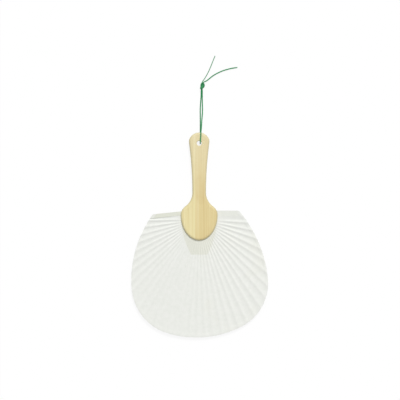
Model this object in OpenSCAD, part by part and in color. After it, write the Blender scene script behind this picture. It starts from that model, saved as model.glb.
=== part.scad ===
// Uchiwa fan: a handle in two bamboo halves, a leaf of split ribs between two sheets of paper, and
// a hanging cord. The fan lies on its back. The origin is where the ribs' lines meet, on the back
// face of the handle. X points right, Y points to the handle's end and Z points up, in millimetres.

/* [Handle] */
// Thickness of each half of the handle
plate_t = 3.4; // [2.6:0.1:5]
// Width of the neck at its narrowest
neck_w = 21.8; // [18:0.2:26]
// Distance from the ribs' centre to the narrowest part of the neck
neck_y = 43; // [40:0.5:50]
// Width of the grip beside the hanging hole
grip_w = 32.4; // [30:0.2:37]
// How far the rounded end's circle reaches past the grip's side
end_flare = 0.9; // [0.4:0.1:1.4]
// Rounding of the two corners at the grip's end
end_corner_r = 5; // [2:0.5:8]
// Distance from the ribs' centre to the hanging hole
hole_y = 122; // [105:1:140]
// Diameter of the hanging hole
hole_d = 8; // [7.6:0.1:10]
// Width of the spoon
spoon_w = 58.8; // [56:0.2:68]
// Distance from the ribs' centre up to the widest part of the spoon
spoon_y = 7; // [5:0.5:9]
// Radius of the spoon's shoulders
shoulder_r = 17.5; // [14:0.5:20]
// Length of the front spoon below its widest part
front_drop = 40.2; // [38:0.2:48]
// Length of the back spoon below its widest part
back_drop = 63.3; // [56:0.1:70]
// Width of the back spoon's straight lower end
back_end_w = 26; // [20:0.5:32]
// Rounding of the two corners at the back spoon's lower end
back_corner_r = 4; // [2:0.5:6]
// Where the back half starts to bend up to the front half
bend_start = 18; // [17:0.5:22]
// Where the back half has reached the front half
bend_end = 38; // [34:0.5:46]

/* [Ribs] */
// Number of ribs
rib_count = 35; // [29:1:36]
// Angle between the first rib and the last, in degrees
rib_spread = 175.4; // [168:0.2:177]
// Share by which the ribs crowd together towards the middle
rib_crowding = 0.22; // [0:0.01:0.24]
// How far the middle ribs lean to the left, in degrees
rib_drift = 3.9; // [0:0.1:5]
// How far the whole set of ribs is turned to the left, in degrees
rib_lean = 1.1; // [0:0.1:1.4]
// Thickness of a rib
rib_t = 1.3; // [1.2:0.1:2]
// Width of a rib at its root
rib_root_w = 1.2; // [0.8:0.05:1.25]
// Width of the longest rib at its tip
rib_tip_w = 2.6; // [1.6:0.1:3.4]
// Distance from the ribs' centre to their roots
rib_root_r = 20; // [19.5:0.5:22]
// Gap between the end of a rib or slat and the rim
rib_end_gap = 1.5; // [1.2:0.1:3]

/* [End slats] */
// Width of the right slat
right_slat_w = 8.8; // [7:0.2:11]
// Distance from the ribs' centre to the right slat's lower edge
right_slat_y = 5.6; // [4:0.1:7]
// How far the right slat slopes down, in degrees
right_slat_slope = 0.3; // [0:0.1:2]
// Width of the left slat
left_slat_w = 6.4; // [5:0.2:9]
// Distance from the ribs' centre to the left slat's lower edge
left_slat_y = 9.6; // [9:0.1:11]
// How far the left slat slopes down, in degrees
left_slat_slope = 6; // [4:0.1:6.5]
// Distance from the ribs' centre to the slats' hidden ends
slat_root_x = 16; // [12:0.5:22]

/* [Paper] */
// Thickness of each sheet
paper_t = 0.25; // [0.1:0.05:0.4]
// Distance from the ribs' centre to the sheets' hidden edge
paper_root_r = 24; // [22:0.5:27]
// Distance from the ribs' centre to where the two sheets meet between the ribs
glue_r = 50; // [44:1:56]
// How far the valleys at the bottom rim lie below the middle of the ribs
valley_dip = 0.3; // [0:0.05:0.5]
// Width that a rib's paper is wider than the rib, on each side
crest_ease = 0.1; // [0.05:0.05:0.2]
// Width of the binding on each face
binding_w = 6; // [4:0.5:8]
// Thickness of the binding
binding_t = 0.2; // [0.1:0.05:0.3]

/* [Leaf outline] */
// Radius of the bottom arc
bottom_r = 159.4; // [145:0.2:180]
// How far the bottom arc's centre lies to the left
bottom_left = 4.6; // [0:0.1:8]
// How far the bottom arc's centre lies below the ribs' centre
bottom_down = 29.4; // [20:0.2:40]
// Radius of the right lower corner
right_corner_r = 78.9; // [70:0.1:90]
// Direction of the right lower corner from the bottom arc's centre, in degrees
right_corner_a = 26.5; // [20:0.5:32]
// Radius of the right side
right_side_r = 197; // [160:1:230]
// Direction in which the right side is widest, in degrees above level
right_side_a = 6.3; // [2:0.1:9]
// Radius of the left lower corner
left_corner_r = 80.9; // [70:0.1:90]
// Direction of the left lower corner from the bottom arc's centre, in degrees
left_corner_a = 16.8; // [12:0.2:22]
// Radius of the left side
left_side_r = 179; // [150:1:210]
// Direction in which the left side is widest, in degrees above level
left_side_a = -4.2; // [-8:0.1:0]

/* [Cord] */
// Diameter of the cord
cord_d = 1.5; // [1.2:0.1:1.5]
// Diameter of the knot
knot_d = 6; // [4.8:0.1:6.6]
// Length of the knot
knot_l = 10.6; // [9:0.2:11.4]

/* [Hidden] */
RIBS = [for (i = [1 : rib_count]) str(i < 10 ? "rib_0" : "rib_", i)];

bamboo = [0.89, 0.82, 0.60];
rib_wood = [0.86, 0.78, 0.58];
paper = [0.93, 0.93, 0.90];
tape = [0.90, 0.90, 0.86];
green = [0.13, 0.52, 0.32];
past = 1;
facets = 64;

// Heights of the layers: the leaf's pack lies between the halves and lifts the grip off the table.
lift = rib_t + 2 * paper_t;
rib_low = plate_t + paper_t;
rib_top = rib_low + rib_t;
front_z = plate_t + lift;
middle = rib_low + rib_t / 2;

function arc(c, r, a0, a1, n) = [for (i = [0 : n]) let (a = a0 + (a1 - a0) * i / n) c + r * [cos(a), sin(a)]];
function mirrored(points) = [for (i = [len(points) - 1 : -1 : 0]) [-points[i][0], points[i][1]]];
function unit(v) = v / norm(v);

// Rounds the corner b between a and c with radius r.
function rounded(a, b, c, r, n) =
    let (
        u = unit(a - b),
        v = unit(c - b),
        half = acos(u * v) / 2,
        o = b + unit(u + v) * r / sin(half),
        p = b + u * r / tan(half) - o,
        q = b + v * r / tan(half) - o,
        turn = 180 - 2 * half,
        way = sign(p[0] * q[1] - p[1] * q[0]),
        start = atan2(p[1], p[0])
    )
    arc(o, r, start, start + way * turn, n);

// The neck's hollow and the spoon's shoulder are two arcs that meet tangent to each other.
shoulder_step = (spoon_w - neck_w) / 2;
shoulder_rise = neck_y - spoon_y;
arcs_r = (shoulder_step * shoulder_step + shoulder_rise * shoulder_rise) / (2 * shoulder_step);
neck_r = arcs_r - shoulder_r;
meet_a = atan2(shoulder_rise, arcs_r - shoulder_step);
shoulder = concat(
    arc([spoon_w / 2 - shoulder_r, spoon_y], shoulder_r, 0, meet_a, 8),
    arc([neck_w / 2 + neck_r, neck_y], neck_r, 180 + meet_a - 6, 180, 8)
);

// The grip's side is one wide arc from the neck to the hole. It meets the end's circle at a corner.
side_step = (grip_w - neck_w) / 2;
side_rise = hole_y - neck_y;
side_r = (side_rise * side_rise + side_step * side_step) / (2 * side_step);
side_c = [neck_w / 2 + side_r, neck_y];
end_c = [0, hole_y];
end_r = grip_w / 2 + end_flare;
apart = norm(side_c - end_c);
along = (end_r * end_r - side_r * side_r + apart * apart) / (2 * apart);
across = sqrt(end_r * end_r - along * along);
to_side = unit(side_c - end_c);
corner = end_c + along * to_side + across * [-to_side[1], to_side[0]];
corner_a = atan2(corner[1] - hole_y, corner[0]);
function grip_x(y) = side_c[0] - sqrt(side_r * side_r - (y - neck_y) * (y - neck_y));
grip_steps = 9;
side = [for (i = [1 : grip_steps]) let (y = neck_y + side_rise * i / grip_steps) [grip_x(y), y]];
end_arc = arc(end_c, end_r, corner_a + 12, 90, 8);
upper = concat(shoulder, side, rounded(side[grip_steps - 1], corner, end_arc[0], end_corner_r, 3), end_arc);

// The front spoon ends in half an ellipse. The back one is longer and cut off straight.
front_low = [for (a = [-90 : 7.5 : -7.5]) [spoon_w / 2 * cos(a), spoon_y + front_drop * sin(a)]];
back_step = (spoon_w - back_end_w) / 2;
back_r = (back_drop * back_drop + back_step * back_step) / (2 * back_step);
back_a = asin(back_drop / back_r);
back_side = arc([spoon_w / 2 - back_r, spoon_y], back_r, -back_a, 0, 9);
back_low = concat(
    rounded([0, spoon_y - back_drop], back_side[0], back_side[1], back_corner_r, 4),
    [for (i = [1 : 8]) back_side[i]]
);
front_outline = concat(front_low, upper, mirrored(concat(front_low, upper)));
back_outline = concat(back_low, upper, mirrored(concat(back_low, upper)));

// The back half lies flat under the spoon and bends up by the thickness of the leaf's pack.
bend_steps = 8;
function bend_y(i) = bend_start + (bend_end - bend_start) * i / bend_steps;
function bend_z(i) = lift * (1 - cos(180 * i / bend_steps)) / 2;
bend = [for (i = [0 : bend_steps]) [bend_y(i), bend_z(i)]];
low_y = spoon_y - back_drop - past;
high_y = hole_y + end_r + past;
under = concat([[low_y, 0]], bend, [[high_y, lift]]);
over = [for (i = [len(under) - 1 : -1 : 0]) under[i] + [0, plate_t]];

module hole(z) {
    translate([0, hole_y, z - past]) cylinder(d = hole_d, h = plate_t + 2 * past, $fn = facets);
}

module handle_front() {
    color(bamboo) difference() {
        translate([0, 0, front_z]) linear_extrude(plate_t) polygon(front_outline);
        hole(front_z);
    }
}

module handle_back() {
    color(bamboo) difference() {
        intersection() {
            linear_extrude(front_z) polygon(back_outline);
            rotate([90, 0, 90]) linear_extrude(spoon_w + 2 * past, center = true) polygon(concat(under, over));
        }
        hole(lift);
    }
}

// Directions in the leaf are degrees from straight down, positive to the right.
function towards(a) = [sin(a), -cos(a)];
function sideways(a) = [cos(a), sin(a)];
function direction(p) = atan2(p[0], -p[1]);
// Distance from p along the unit vector d to the circle round c.
function hit(p, d, c, r) = let (q = p - c, b = q * d) sqrt(b * b - q * q + r * r) - b;

// The rim is five arcs, each tangent to the next: left side, corner, bottom, corner, right side.
bottom_c = [-bottom_left, -bottom_down];
right_c = bottom_c + (bottom_r - right_corner_r) * towards(right_corner_a);
left_c = bottom_c + (bottom_r - left_corner_r) * towards(-left_corner_a);
right_side_c = right_c - (right_side_r - right_corner_r) * [cos(right_side_a), sin(right_side_a)];
left_side_c = left_c - (left_side_r - left_corner_r) * [-cos(left_side_a), sin(left_side_a)];
right_low = direction(right_c + right_corner_r * towards(right_corner_a));
left_low = direction(left_c + left_corner_r * towards(-left_corner_a));
right_high = direction(right_c + right_corner_r * [cos(right_side_a), sin(right_side_a)]);
left_high = direction(left_c + left_corner_r * [-cos(left_side_a), sin(left_side_a)]);
function rim_arc(a) =
    a > right_high ? [right_side_c, right_side_r]
    : a > right_low ? [right_c, right_corner_r]
    : a > left_low ? [bottom_c, bottom_r]
    : a > left_high ? [left_c, left_corner_r]
    : [left_side_c, left_side_r];
function reach(a) = let (rim = rim_arc(a)) hit([0, 0], towards(a), rim[0], rim[1]);
function at_rim(a) = reach(a) * towards(a);
longest = reach(0);

// Ribs run from the right slat round to the left one, closest together near the bottom.
function rib_place(i) = 2 * i / (rib_count - 1) - 1;
function rib_angle(i) =
    let (u = rib_place(i))
    -rib_lean - rib_drift * (1 - u * u) - rib_spread / 2 * ((1 - rib_crowding) * u + rib_crowding * u * u * u);
function rib_half(r) =
    (rib_root_w + (rib_tip_w - rib_root_w) * (r - rib_root_r) / (longest - rib_root_r)) / 2;
function rib_edge(a, r, way) = r * towards(a) + way * rib_half(r) * sideways(a);

module rib(i) {
    a = rib_angle(i);
    tip_r = reach(a) - rib_end_gap;
    outline = [
        rib_edge(a, rib_root_r, 1), rib_edge(a, tip_r, 1), rib_edge(a, tip_r, -1), rib_edge(a, rib_root_r, -1)
    ];
    color(rib_wood) translate([0, 0, rib_low]) linear_extrude(rib_t) polygon(outline);
}

// A slat's edge is a straight line: its point beside the ribs' centre and its direction outwards.
function slat_line(way, slope, off) = [off * [way * sin(slope), cos(slope)], [way * cos(slope), -sin(slope)]];
function on_line(l, d) = l[0] + d * l[1];
right_edge = slat_line(1, right_slat_slope, right_slat_y);
right_top = slat_line(1, right_slat_slope, right_slat_y + right_slat_w);
left_edge = slat_line(-1, left_slat_slope, left_slat_y);
left_top = slat_line(-1, left_slat_slope, left_slat_y + left_slat_w);
function slat_end(l) =
    l[1][0] > 0 ? hit(l[0], l[1], right_side_c, right_side_r) : hit(l[0], l[1], left_side_c, left_side_r);

module slat(edge, top) {
    outline = [
        on_line(edge, slat_root_x), on_line(edge, slat_end(edge) - rib_end_gap),
        on_line(top, slat_end(top) - rib_end_gap), on_line(top, slat_root_x)
    ];
    color(rib_wood) translate([0, 0, rib_low]) linear_extrude(rib_t) polygon(outline);
}

module end_slat_right() {
    slat(right_edge, right_top);
}

module end_slat_left() {
    slat(left_edge, left_top);
}

// The paper's folds are straight lines from its hidden edge to the rim, each as [inner, outer].
function slat_fold(l) = [on_line(l, paper_root_r), on_line(l, slat_end(l))];
function rib_fold(i, way) =
    let (
        a = rib_angle(i),
        r = reach(a),
        inner = paper_root_r * towards(a) + way * (rib_half(paper_root_r) + crest_ease) * sideways(a)
    )
    [inner, at_rim(a + way * atan((rib_half(r) + crest_ease) / r))];
crests = concat(
    [slat_fold(right_top), slat_fold(right_edge)],
    [for (i = [0 : rib_count - 1]) for (way = [1, -1]) rib_fold(i, way)],
    [slat_fold(left_edge), slat_fold(left_top)]
);
function valley(a, b) = [(a[0] + b[0]) / 2, at_rim((direction(a[1]) + direction(b[1])) / 2)];
last = len(crests) - 1;
// Every second crest line is followed by a valley. A fold is [inner, outer, whether it's a valley].
folds = [
    for (i = [0 : last]) each concat(
        [concat(crests[i], [false])],
        i % 2 == 1 && i < last ? [concat(valley(crests[i], crests[i + 1]), [true])] : []
    )
];
stations = 4;
// The points along one fold: the hidden edge, where the sheets meet, the binding's edge and the rim.
function along_fold(f) =
    let (l = norm(f[1] - f[0]))
    [for (t = [0, (glue_r - paper_root_r) / l, 1 - binding_w / l, 1]) f[0] + t * (f[1] - f[0])];
function height(f, p, s, crest_z) = f[2] && s > 0 ? middle - valley_dip * norm(p) / longest : crest_z;
function skin(crest_z, rise) = [
    for (f = folds)
        let (points = along_fold(f))
        for (s = [0 : stations - 1])
            [points[s][0], points[s][1], height(f, points[s], s, crest_z) + rise]
];
function quad(a, b, c, d) = [[a, b, c], [a, c, d]];

// A sheet is the same grid twice, one paper's thickness apart, closed along its four edges.
module sheet(crest_z, low, high) {
    n = len(folds);
    up = n * stations;
    points = concat(skin(crest_z, low), skin(crest_z, high));
    faces = concat(
        [for (c = [0 : n - 2]) for (s = [0 : stations - 2])
            let (a = c * stations + s, b = a + 1, d = a + stations, e = d + 1)
            each concat(quad(up + a, up + b, up + e, up + d), [[a, e, b], [a, d, e]])],
        [for (c = [0 : n - 2]) for (s = [0, stations - 1])
            let (a = c * stations + s, d = a + stations)
            each s == 0 ? quad(up + a, up + d, d, a) : quad(up + a, a, d, up + d)],
        [for (s = [0 : stations - 2]) for (c = [0, n - 1])
            let (a = c * stations + s, b = a + 1)
            each c == 0 ? quad(up + a, a, b, up + b) : quad(up + a, up + b, b, a)]
    );
    polyhedron(points, faces, convexity = 4);
}

module leaf_front_paper() {
    color(paper) sheet(rib_top, 0, paper_t);
}

module leaf_back_paper() {
    color(paper) sheet(rib_low, -paper_t, 0);
}

// The binding is folded over the rim and lies on both sheets. Its section has eight corners.
module rim_binding() {
    top = skin(rib_top, paper_t);
    base = skin(rib_low, -paper_t);
    n = len(folds);
    up = [0, 0, binding_t];
    points = [
        for (c = [0 : n - 1])
            let (
                edge = c * stations + stations - 2,
                rim = edge + 1,
                out = folds[c][1] - folds[c][0],
                o = binding_t * unit([out[0], out[1], 0])
            )
            each [
                top[edge], top[edge] + up, top[rim] + o + up, base[rim] + o - up,
                base[edge] - up, base[edge], base[rim], top[rim]
            ]
    ];
    z = 8 * (n - 1);
    faces = concat(
        quad(7, 2, 1, 0), quad(6, 3, 2, 7), quad(5, 4, 3, 6),
        [for (c = [0 : n - 2]) for (k = [0 : 7])
            let (a = 8 * c + k, b = 8 * c + (k + 1) % 8, d = b + 8, e = a + 8)
            each k == 7 ? [[a, b, e], [b, d, e]] : quad(a, b, d, e)],
        quad(z, z + 1, z + 2, z + 7), quad(z + 7, z + 2, z + 3, z + 6), quad(z + 6, z + 3, z + 4, z + 5)
    );
    color(tape) polyhedron(points, faces, convexity = 4);
}

// The cord's route, point by point: how far right, how far beyond the hole's centre, and how much of
// the way up it has come. Both strands start face to face inside the hole and end at the knot.
cord_low = cord_d / 2;
face_gap = 0.3;
cord_over = front_z + plate_t + face_gap + cord_low;
knot_z = knot_d / 2;
function rise(route, top) = [for (p = route) [p[0], hole_y + p[1], cord_low + p[2] * (top - cord_low)]];
knot_turn = 7;
knot_way = [sin(knot_turn), cos(knot_turn), 0];
knot_side = [cos(knot_turn), -sin(knot_turn), 0];
knot_start = [4.1, hole_y + 86.5, knot_z];
knot_end = knot_start + knot_l * knot_way;
strand_gap = 0.05;
strand_off = (cord_d + strand_gap) / 2;
front_route = concat(
    rise([
        [1.7, -0.85, 0.5], [1.7, -0.25, 0.75], [1.75, 1.4, 0.93], [1.9, 3.6, 1], [2.2, 7, 1],
        [2.5, 11, 1], [2.7, 15, 1], [2.9, 18.5, 1], [3.3, 22.5, 0.95], [3.6, 26, 0.83],
        [3.8, 29.5, 0.68], [4, 33, 0.51], [4.2, 36.5, 0.35], [4.5, 40, 0.22], [4.8, 43.5, 0.12],
        [5.1, 47.5, 0.04], [5.2, 51.5, 0], [5.3, 55.5, 0], [5.2, 59.5, 0], [5.05, 63.5, 0],
        [4.95, 67.5, 0], [4.9, 71.5, 0]
    ], cord_over),
    rise([[4.9, 75.5, 0.03], [4.9, 79.5, 0.28], [4.9, 83, 0.7]], knot_z),
    [knot_start + strand_off * knot_side]
);
back_route = concat(
    rise([
        [1.7, -0.85, 0.5], [1.7, -0.25, 0.25], [1.7, 1.4, 0.07], [1.75, 3.6, 0], [1.8, 7.5, 0],
        [1.85, 11.5, 0], [1.9, 15.5, 0], [1.9, 19.5, 0], [1.9, 23.5, 0], [1.9, 27.5, 0],
        [1.9, 31.5, 0], [1.9, 35.5, 0], [1.85, 39.5, 0], [1.8, 43.5, 0], [1.75, 47.5, 0],
        [1.7, 51.5, 0], [1.75, 55.5, 0], [1.95, 59.5, 0], [2.2, 63.5, 0], [2.5, 67.5, 0],
        [2.8, 71.5, 0]
    ], cord_over),
    rise([[3.05, 75.5, 0.03], [3.2, 79.5, 0.28], [3.25, 83, 0.7]], knot_z),
    [knot_start - strand_off * knot_side]
);
long_route = concat([knot_end + strand_off * knot_side], rise([
    [6.9, 98.9, 0.9], [8.5, 100.2, 0.7], [11, 101.4, 0.38], [14.6, 103.4, 0.13], [18.3, 106.2, 0.03],
    [22, 108.6, 0], [26, 110.9, 0], [30.2, 113.1, 0], [34.5, 115.1, 0], [39, 116.9, 0],
    [43.5, 118.3, 0], [48, 119.5, 0], [52.5, 120.5, 0], [57, 121.2, 0], [61.3, 121.8, 0]
], knot_z));
short_route = concat([knot_end - strand_off * knot_side], rise([
    [5.1, 99.6, 0.85], [6.4, 102.6, 0.6], [8.4, 105.8, 0.28], [10.6, 109, 0.08], [12.7, 112.2, 0.02],
    [14.7, 115.5, 0], [16.5, 119, 0], [18, 122.6, 0], [19.4, 126.3, 0], [20.8, 130, 0],
    [22.3, 133.7, 0], [23.9, 137.2, 0], [25.6, 140.4, 0]
], knot_z));
cord_sides = 8;

function heading(route, i, first, final) =
    i == 0 ? first
    : i == len(route) - 1 ? final
    : unit(unit(route[i + 1] - route[i]) + unit(route[i] - route[i - 1]));
function ring(p, t, ref, r) =
    let (u = unit(cross(t, ref)), v = cross(u, t))
    [for (k = [0 : cord_sides - 1]) let (a = 360 * k / cord_sides) p + r * (cos(a) * u + sin(a) * v)];

// A tube along a route, with its first and last rings square to the directions given.
module tube(route, ref, first, final) {
    n = len(route);
    m = cord_sides;
    points = [for (i = [0 : n - 1]) each ring(route[i], heading(route, i, first, final), ref, cord_d / 2)];
    faces = concat(
        [for (k = [1 : m - 2]) [0, k, k + 1]],
        [for (i = [0 : n - 2]) for (k = [0 : m - 1])
            let (a = m * i + k, b = m * i + (k + 1) % m)
            each [[a, a + m, b + m], [a, b + m, b]]],
        [for (k = [1 : m - 2]) [m * (n - 1), m * (n - 1) + k + 1, m * (n - 1) + k]]
    );
    color(green) polyhedron(points, faces, convexity = 4);
}

module cord_front_strand() {
    tube(front_route, [1, 0, 0], [0, 0, 1], knot_way);
}

module cord_back_strand() {
    tube(back_route, [1, 0, 0], [0, 0, -1], knot_way);
}

module cord_long_tail() {
    tube(long_route, [0, 0, 1], knot_way, unit([4.3, 0.6, 0]));
}

module cord_short_tail() {
    tube(short_route, [0, 0, 1], knot_way, unit([1.7, 3.2, 0]));
}

// The knot is a barrel whose flat ends meet the strands and the tails.
module cord_knot() {
    profile = [
        [0, 0], [0.37 * knot_d, 0], [0.45 * knot_d, 0.12 * knot_l], [0.5 * knot_d, 0.35 * knot_l],
        [0.5 * knot_d, 0.65 * knot_l], [0.45 * knot_d, 0.88 * knot_l], [0.37 * knot_d, knot_l], [0, knot_l]
    ];
    color(green) translate(knot_start) rotate([-90, 0, -knot_turn]) rotate_extrude($fn = facets / 2)
        polygon(profile);
}

handle_front();
handle_back();
leaf_front_paper();
leaf_back_paper();
rim_binding();
end_slat_right();
end_slat_left();
for (i = [0 : rib_count - 1]) rib(i);
cord_front_strand();
cord_back_strand();
cord_knot();
cord_long_tail();
cord_short_tail();
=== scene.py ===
import math
import random

import bmesh
import bpy
from mathutils import Matrix, Vector, noise


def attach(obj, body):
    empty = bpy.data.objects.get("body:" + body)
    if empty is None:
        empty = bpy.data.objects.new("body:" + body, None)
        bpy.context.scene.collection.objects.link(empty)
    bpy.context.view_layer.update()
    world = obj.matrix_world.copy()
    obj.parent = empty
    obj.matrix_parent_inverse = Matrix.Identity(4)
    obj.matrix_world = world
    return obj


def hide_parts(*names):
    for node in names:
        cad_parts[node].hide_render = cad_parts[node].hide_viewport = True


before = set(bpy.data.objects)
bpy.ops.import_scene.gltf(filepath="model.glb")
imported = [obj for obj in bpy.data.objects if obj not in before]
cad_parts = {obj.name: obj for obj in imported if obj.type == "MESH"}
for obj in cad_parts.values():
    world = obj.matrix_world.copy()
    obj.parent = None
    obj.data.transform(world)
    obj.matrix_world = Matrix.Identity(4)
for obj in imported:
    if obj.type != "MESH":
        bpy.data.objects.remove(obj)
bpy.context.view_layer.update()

mm = 0.001
scene = bpy.context.scene
fanBody = "fan"
loopBody = "cord_loop"
cornerAngle = math.radians(60)  # faces that meet more sharply than this aren't shaded as one


view = {  # mm
    "centre": (1.3, 31.2),  # the middle of the picture
    "field": 640,  # how much the picture takes in across
    "height": 1500,
    "fanHeight": 5,  # where that width is measured
    "sensor": 36,
    "near": 50,
    "far": 20000,
}


def placeCamera():
    data = bpy.data.cameras.new("camera")
    data.sensor_width = view["sensor"]
    data.lens = view["sensor"] * (view["height"] - view["fanHeight"]) / view["field"]
    data.clip_start = view["near"] * mm
    data.clip_end = view["far"] * mm
    camera = bpy.data.objects.new("camera", data)
    camera.location = (view["centre"][0] * mm, view["centre"][1] * mm, view["height"] * mm)
    scene.collection.objects.link(camera)
    scene.camera = camera


placeCamera()
print("camera placed")


def arc(centre, radius, start, end, steps):
    points = []
    for i in range(steps + 1):
        a = math.radians(start + (end - start) * i / steps)
        points.append((centre[0] + radius * math.cos(a), centre[1] + radius * math.sin(a)))
    return points


def meshObject(name, points, faces, material, smooth=True):
    data = bpy.data.meshes.new(name)
    data.from_pydata([(p[0] * mm, p[1] * mm, p[2] * mm) for p in points], [], faces)
    data.materials.append(material)
    data.polygons.foreach_set("use_smooth", [smooth] * len(data.polygons))
    data.update()
    piece = bpy.data.objects.new(name, data)
    scene.collection.objects.link(piece)
    return piece


def addFloats(piece, name, values):
    layer = piece.data.attributes.new(name, "FLOAT", "POINT")
    layer.data.foreach_set("value", values)


def tidyNormals(piece):
    work = bmesh.new()
    work.from_mesh(piece.data)
    bmesh.ops.recalc_face_normals(work, faces=work.faces)
    work.to_mesh(piece.data)
    work.free()
    piece.data.set_sharp_from_angle(angle=cornerAngle)


def smoothLine(points, step):  # a curve through the points, cut into even steps, and its length
    fine, pieces = [], 12
    p = [Vector(q) for q in points]
    p = [2 * p[0] - p[1]] + p + [2 * p[-1] - p[-2]]
    for i in range(1, len(p) - 2):
        for k in range(pieces):
            t = k / pieces
            fine.append(0.5 * (2 * p[i] + (p[i + 1] - p[i - 1]) * t
                        + (2 * p[i - 1] - 5 * p[i] + 4 * p[i + 1] - p[i + 2]) * t * t
                        + (3 * p[i] - p[i - 1] - 3 * p[i + 1] + p[i + 2]) * t ** 3))
    fine.append(p[-2])
    total = sum((b - a).length for a, b in zip(fine, fine[1:]))
    count = max(2, round(total / step))
    even, gone, i = [fine[0].copy()], 0.0, 0
    for k in range(1, count):
        goal = total * k / count
        while gone + (fine[i + 1] - fine[i]).length < goal:
            gone += (fine[i + 1] - fine[i]).length
            i += 1
        even.append(fine[i].lerp(fine[i + 1], (goal - gone) / (fine[i + 1] - fine[i]).length))
    even.append(fine[-1])
    return even, total


def newMaterial(name, roughness, specular):
    material = bpy.data.materials.new(name)
    material.use_nodes = True
    shader = material.node_tree.nodes["Principled BSDF"]
    shader.inputs["Roughness"].default_value = roughness
    shader.inputs["Specular IOR Level"].default_value = specular
    return material, material.node_tree, shader


def addNode(tree, kind, settings=None, **inputs):
    node = tree.nodes.new(kind)
    for key, value in (settings or {}).items():
        setattr(node, key, value)
    for key, value in inputs.items():  # i0 is the first socket, any other word is a socket's name
        numbered = key[0] == "i" and key[1:].isdigit()
        socket = node.inputs[int(key[1:]) if numbered else key.replace("_", " ")]
        if isinstance(value, bpy.types.NodeSocket):
            tree.links.new(value, socket)
        else:
            socket.default_value = value
    return node


def mathNode(tree, operation, a, b=0.0, clamp=False):
    settings = {"operation": operation, "use_clamp": clamp}
    return addNode(tree, "ShaderNodeMath", settings, i0=a, i1=b).outputs[0]


def mixColour(tree, factor, a, b, blend="MIX"):
    node = tree.nodes.new("ShaderNodeMix")
    node.data_type = "RGBA"
    node.blend_type = blend
    for socket, value in ((node.inputs[0], factor), (node.inputs[6], a), (node.inputs[7], b)):
        if isinstance(value, bpy.types.NodeSocket):
            tree.links.new(value, socket)
        else:
            socket.default_value = value
    return node.outputs[2]


def stretchedNoise(tree, scale, detail=3.0, roughness=0.5, distortion=0.0):
    place = addNode(tree, "ShaderNodeTexCoord").outputs["Object"]
    turned = addNode(tree, "ShaderNodeMapping", Vector=place, Scale=scale).outputs[0]
    return addNode(tree, "ShaderNodeTexNoise", Vector=turned, Scale=1.0, Detail=detail,
                   Roughness=roughness, Distortion=distortion).outputs[0]


def remap(tree, value, low, high, start=0.0, end=1.0):
    return addNode(tree, "ShaderNodeMapRange", {"clamp": True, "interpolation_type": "SMOOTHSTEP"},
                   i0=value, i1=low, i2=high, i3=start, i4=end).outputs[0]


def addBump(tree, shader, height, strength, deep):
    bump = addNode(tree, "ShaderNodeBump", Height=height, Strength=strength, Distance=deep * mm)
    tree.links.new(bump.outputs[0], shader.inputs["Normal"])


def addLayer(shader, kind, weight, roughness):
    shader.inputs[f"{kind} Weight"].default_value = weight
    shader.inputs[f"{kind} Roughness"].default_value = roughness


def srgb(r, g, b):
    channels = [c / 255 for c in (r, g, b)]
    return tuple(c / 12.92 if c <= 0.04045 else ((c + 0.055) / 1.055) ** 2.4 for c in channels) + (1.0,)


bamboo = {
    "left": srgb(234, 222, 170),
    "right": srgb(226, 208, 153),
    "streak": srgb(206, 180, 122),
    "pale": srgb(243, 232, 192),
    # painted edge shade: the greyer colour mixed in along the board's edges
    "edge": srgb(186, 180, 143),
    "end": srgb(232, 221, 184),
    "seam": -6.2,  # where the two strips of the board are glued, mm
    "seamSoft": (0.4, 0.6),
    "sway": 1.8,  # how far the seam wanders, mm
    "palerFrom": (20, 130),  # the grip is paler towards its end: from where to where along it, mm
    "palerBy": 0.55,
    "grain": [  # noise scale, detail, roughness, value where it starts, value where it is full, share
        ((330, 4, 330), 3.0, 0.6, 0.5, 0.72, 0.55, "streak"),  # the long bundles of the board
        ((330, 4, 330), 3.0, 0.6, 0.5, 0.28, 0.6, "pale"),
        ((60, 22, 60), 2.0, 0.5, 0.5, 0.8, 0.35, "streak"),
        ((1900, 16, 1900), 3.0, 0.6, 0.5, 0.72, 0.3, "streak"),
    ],
    "fibre": ((1900, 16, 1900), 3.0, 0.6),
    "roughness": (0.4, 0.56),
    "bump": (0.22, 0.12),  # strength, and depth in mm
    "coat": (0.1, 0.3),  # weight and roughness
}


def bambooMaterial():
    material, tree, shader = newMaterial("bambooBoard", 0.45, 0.35)
    place = addNode(tree, "ShaderNodeTexCoord").outputs["Object"]
    apart = addNode(tree, "ShaderNodeSeparateXYZ", i0=place)
    wander = stretchedNoise(tree, (30, 9, 30), 2.0)
    sway = mathNode(tree, "MULTIPLY", mathNode(tree, "SUBTRACT", wander, 0.5), bamboo["sway"] * mm)
    across = mathNode(tree, "ADD", apart.outputs[0], sway)
    before, after = bamboo["seamSoft"]
    side = remap(tree, across, (bamboo["seam"] - before) * mm, (bamboo["seam"] + after) * mm)
    board = mixColour(tree, side, bamboo["left"], bamboo["right"])
    for scale, detail, roughness, start, full, share, colour in bamboo["grain"]:
        shade = remap(tree, stretchedNoise(tree, scale, detail, roughness), start, full, 0.0, share)
        board = mixColour(tree, shade, board, bamboo[colour])
    fibre = stretchedNoise(tree, *bamboo["fibre"])
    low, high = bamboo["palerFrom"]
    paler = remap(tree, apart.outputs[1], low * mm, high * mm, 0.0, bamboo["palerBy"])
    board = mixColour(tree, paler, board, bamboo["end"])
    # painted edge shade: the greyer edge colour is mixed in along the edges
    edgeShadeMask = addNode(tree, "ShaderNodeAttribute", {"attribute_name": "edgeShadeMask"}).outputs["Fac"]
    board = mixColour(tree, edgeShadeMask, board, bamboo["edge"])
    tree.links.new(board, shader.inputs["Base Color"])
    tree.links.new(remap(tree, fibre, 0.3, 0.7, *bamboo["roughness"]), shader.inputs["Roughness"])
    addBump(tree, shader, fibre, *bamboo["bump"])
    addLayer(shader, "Coat", *bamboo["coat"])
    return material


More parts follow.
